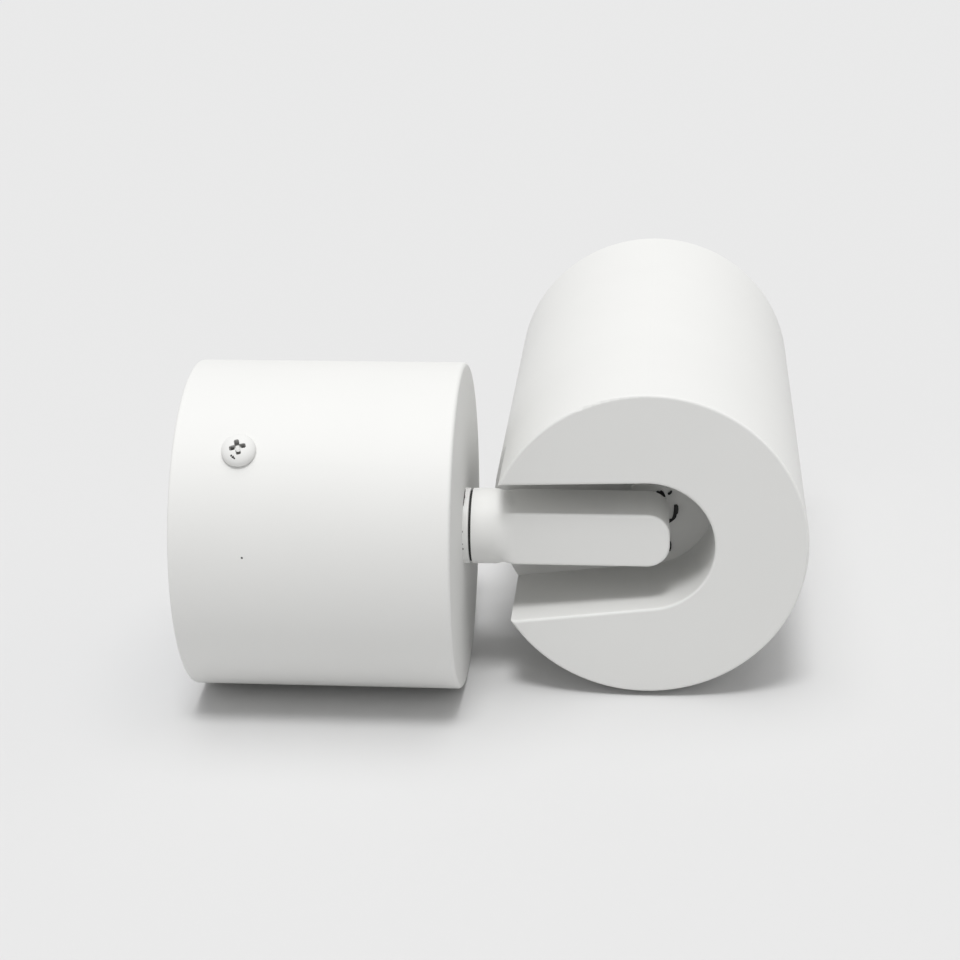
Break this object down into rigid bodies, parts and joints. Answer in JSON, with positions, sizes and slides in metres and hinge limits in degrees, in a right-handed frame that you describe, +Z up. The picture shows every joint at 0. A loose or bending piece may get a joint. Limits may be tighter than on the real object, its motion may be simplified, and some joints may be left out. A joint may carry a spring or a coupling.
{
  "type": "ceiling spotlight",
  "caption": "Surface mounted ceiling spotlight: round base drum, short swivel arm and a cylindrical lamp head that folds on it through a U-slot.",
  "frame": {"origin": "on the drum's axis, in the plane of its open ceiling side, midway between the two ceiling slots", "axes": "+X runs from the ceiling side along the drum's axis to the arm and the head, so it points down once the lamp hangs on a ceiling; +Y is the beam's direction in the pose shown; +Z is up as the lamp lies on a table in the picture"},
  "size_m": [0.1078, 0.1185, 0.058],
  "materials": {
    "white_powder_coat": "fine matt powder coat",
    "zinc_steel": "zinc plated",
    "black_rubber": "matt",
    "white_nylon": "moulded",
    "brass": "bright",
    "tinned_copper": "tinned",
    "brown_wire": "satin insulation",
    "blue_wire": "satin insulation",
    "green_wire": "satin insulation",
    "steatite": "unglazed",
    "lamp_shell": "satin",
    "nickel_pins": "nickel plated",
    "white_board": "solder mask",
    "phosphor": "silicone",
    "clear_lens": "clear moulded",
    "white_seal": "silicone"
  },
  "bodies": {
    "base": {"base_drum": "white_powder_coat", "ceiling_plate": "zinc_steel", "side_screws": "white_powder_coat", "cable_bush": "black_rubber", "terminal_block": "white_nylon", "terminal_barrels": "brass", "terminal_screws": "zinc_steel", "block_screw": "zinc_steel", "earth_lug": "tinned_copper", "earth_screw": "zinc_steel", "live_wire": "brown_wire", "neutral_wire": "blue_wire", "earth_wire": "green_wire", "stop_pin": "zinc_steel"},
    "arm": {"collar_ring": "white_powder_coat", "friction_washer": "black_rubber", "arm": "white_powder_coat", "swivel_stem": "zinc_steel", "glide_washer": "white_nylon", "stop_washer": "zinc_steel", "disc_spring": "zinc_steel", "stem_nut": "zinc_steel", "lock_nut": "zinc_steel", "pivot_pin": "zinc_steel", "arm_sleeve": "black_rubber"},
    "head": {"head_housing": "white_powder_coat", "hinge_lug": "white_powder_coat", "lug_washer": "zinc_steel", "lug_nut": "zinc_steel", "head_sleeve": "black_rubber", "holder_bracket": "zinc_steel", "bracket_screws": "zinc_steel", "lamp_holder": "steatite", "holder_screws": "zinc_steel", "lamp_body": "lamp_shell", "lamp_pins": "nickel_pins", "led_board": "white_board", "led_chips": "phosphor", "lamp_lens": "clear_lens", "lamp_seal": "white_seal", "front_ring": "white_powder_coat"}
  },
  "joints": [
    {"name": "swivel", "type": "hinge", "parent": "base", "child": "arm", "pos_m": [0.0475, 0, 0], "axis": [1, 0, 0], "range_deg": [-250, 90]},
    {"name": "tilt", "type": "hinge", "parent": "arm", "child": "head", "pos_m": [0.0798, 0, 0], "axis": [0, 0, 1], "range_deg": [-90, 0]}
  ]
}
